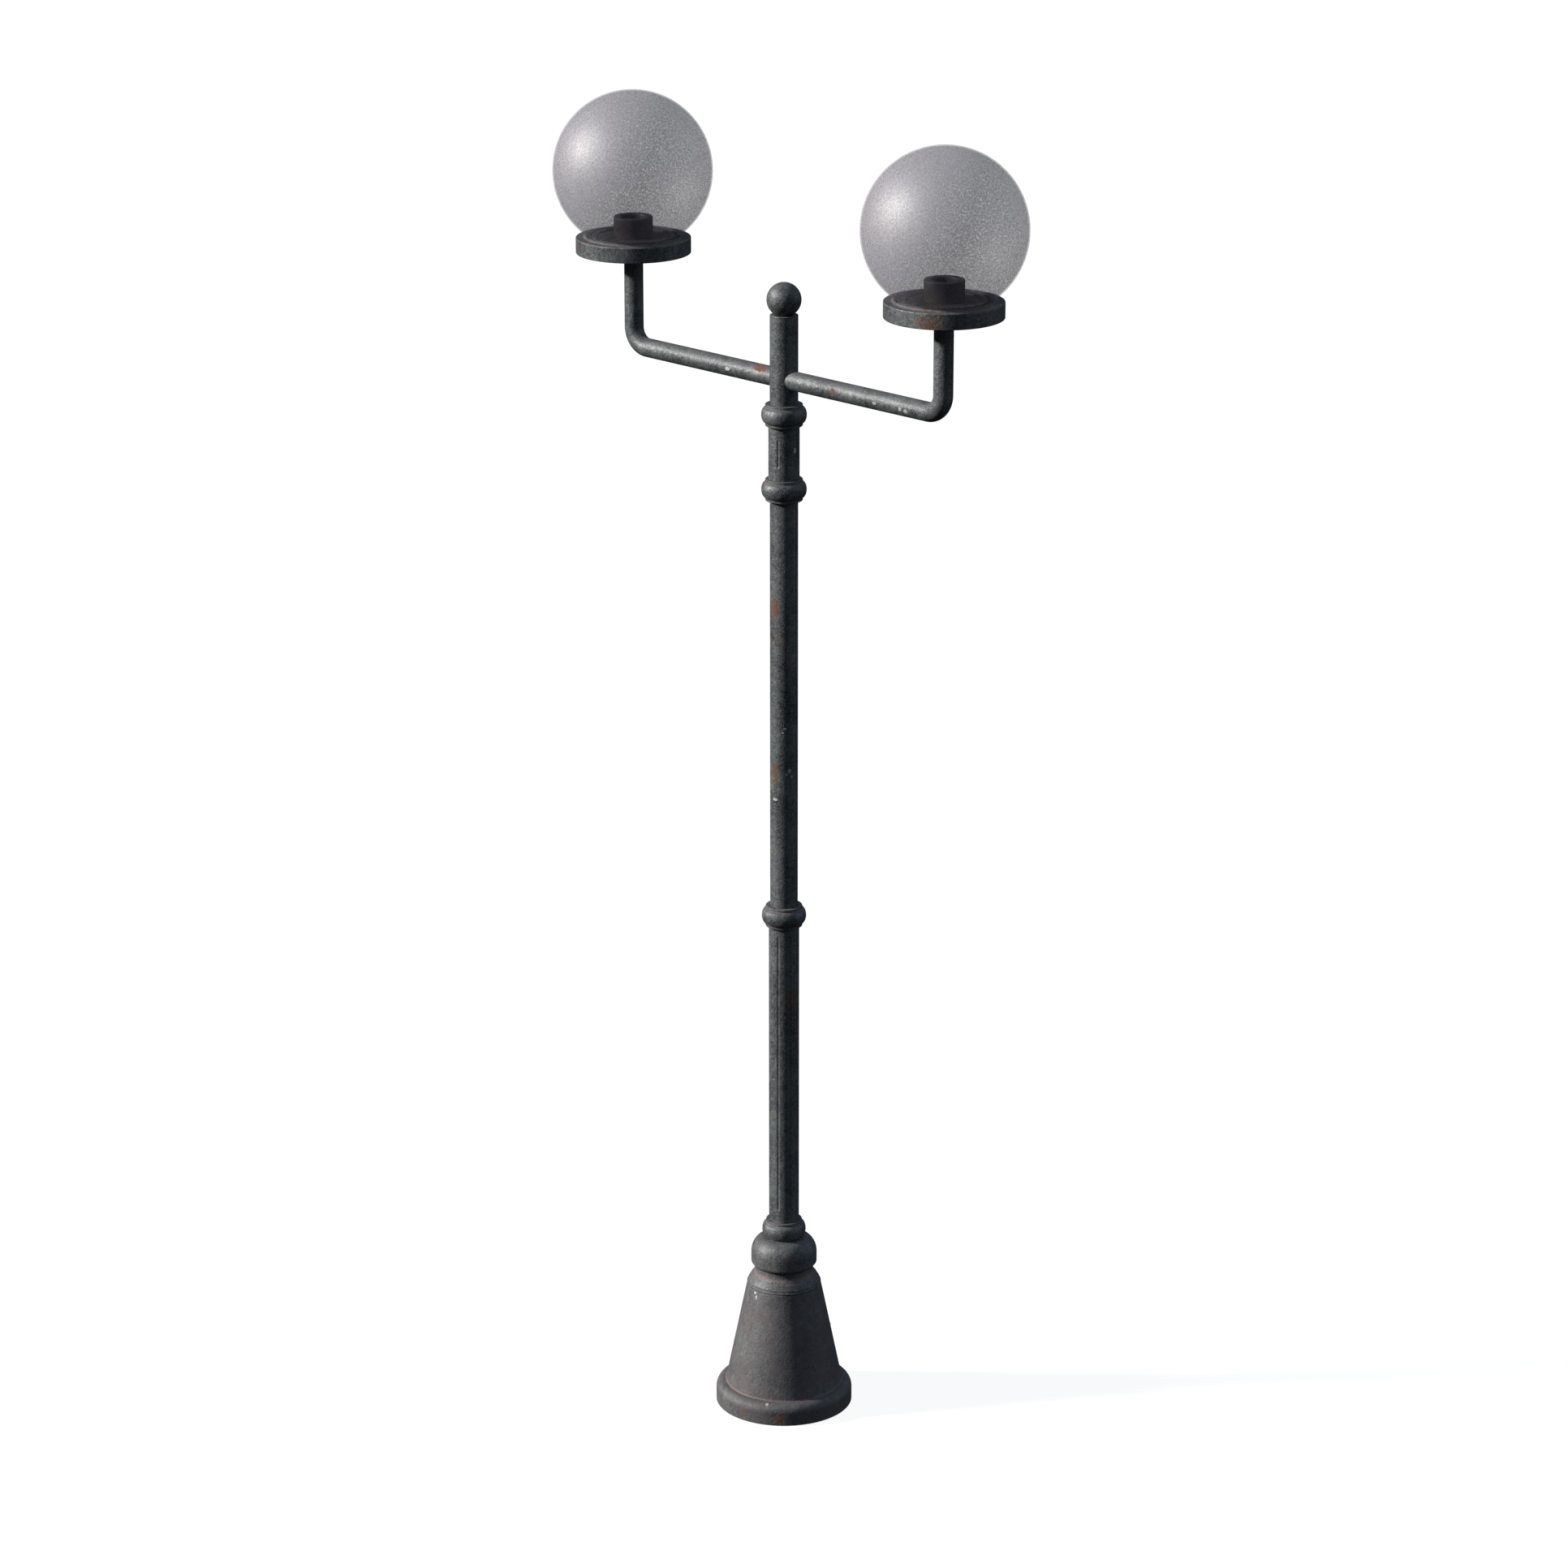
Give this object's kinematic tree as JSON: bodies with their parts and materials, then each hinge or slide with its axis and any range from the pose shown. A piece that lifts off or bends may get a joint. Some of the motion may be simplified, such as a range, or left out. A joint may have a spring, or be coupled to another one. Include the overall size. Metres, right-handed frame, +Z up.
{
  "type": "twin-globe street lamp post",
  "caption": "Ornamental street lamp post: flared pedestal with rear access door, fluted and plain shaft with collars, ball finial, and a frosted globe lamp on each upturned arm.",
  "frame": {"origin": "on the ground at the post's axis, at the centre of the pedestal's foot", "axes": "+Z up along the post; the two arms lie along X, the left lamp at -X; the access door faces +Y"},
  "size_m": [1.828, 0.5, 4.2215],
  "materials": {
    "cast_iron": "weathered grey-black paint over rough casting, with rust spots",
    "painted_steel": "weathered grey-black paint with chips, scratches and rust",
    "zinc_steel": "dull zinc plating",
    "stainless": "plain stainless steel",
    "brass": "dull brass",
    "rubber": "matte black",
    "dark_plastic": "moulded phenolic, fine grain",
    "grey_plastic": "moulded grey housing",
    "porcelain": "glazed white porcelain",
    "smoked_glass": "smoky frosted translucent globe with a fine speckle"
  },
  "bodies": {
    "post": {"base_pedestal": "cast_iron", "base_urn": "cast_iron", "base_urn_screw": "zinc_steel", "base_plate": "zinc_steel", "hinge_pin_lower": "stainless", "hinge_pin_upper": "stainless", "earth_stud": "brass", "earth_nut": "brass", "cutout_bracket": "zinc_steel", "cutout_body": "grey_plastic", "cable_gland_left": "dark_plastic", "cable_gland_right": "dark_plastic", "bracket_screw_lower": "zinc_steel", "bracket_screw_upper": "zinc_steel", "lower_shaft": "painted_steel", "upper_shaft": "painted_steel", "joint_spigot": "zinc_steel", "wire_grommet": "rubber", "neck_sleeve": "painted_steel", "head_tube": "painted_steel", "lower_collar": "cast_iron", "middle_collar": "cast_iron", "upper_collar": "cast_iron", "lower_collar_screw": "zinc_steel", "middle_collar_screw": "zinc_steel", "upper_collar_screw": "zinc_steel", "post_cap": "cast_iron", "ball_finial": "cast_iron", "finial_nut": "zinc_steel", "left_arm": "painted_steel", "left_pan": "cast_iron", "left_hub_screw": "zinc_steel", "left_grommet": "rubber", "left_gasket": "rubber", "left_lampholder_cup": "dark_plastic", "left_lampholder": "porcelain", "left_screw_shell": "brass", "left_centre_contact": "brass", "right_arm": "painted_steel", "right_pan": "cast_iron", "right_hub_screw": "zinc_steel", "right_grommet": "rubber", "right_gasket": "rubber", "right_lampholder_cup": "dark_plastic", "right_lampholder": "porcelain", "right_screw_shell": "brass", "right_centre_contact": "brass"},
    "door": {"base_door": "cast_iron"},
    "lock": {"lock_spindle": "stainless", "lock_cam": "zinc_steel", "lock_nut": "zinc_steel"},
    "fuse_carrier": {"fuse_carrier": "dark_plastic"},
    "left_globe": {"left_globe": "smoked_glass"},
    "right_globe": {"right_globe": "smoked_glass"}
  },
  "joints": [
    {"name": "door_hinge", "type": "hinge", "parent": "post", "child": "door", "pos_m": [-0.0795, 0.15773, 0.165], "axis": [0, -0.2281, 0.9736], "range_deg": [0, 110]},
    {"name": "lock_turn", "type": "hinge", "parent": "door", "child": "lock", "pos_m": [0.048, 0.156, 0.225], "axis": [0, -1, 0], "range_deg": [0, 90]},
    {"name": "fuse_carrier_pull", "type": "slide", "parent": "post", "child": "fuse_carrier", "axis": [0, 1, 0], "range_m": [0, 0.034]},
    {"name": "left_globe_lift", "type": "slide", "parent": "post", "child": "left_globe", "axis": [0, 0, 1], "range_m": [0, 0.12]},
    {"name": "right_globe_lift", "type": "slide", "parent": "post", "child": "right_globe", "axis": [0, 0, 1], "range_m": [0, 0.12]}
  ]
}
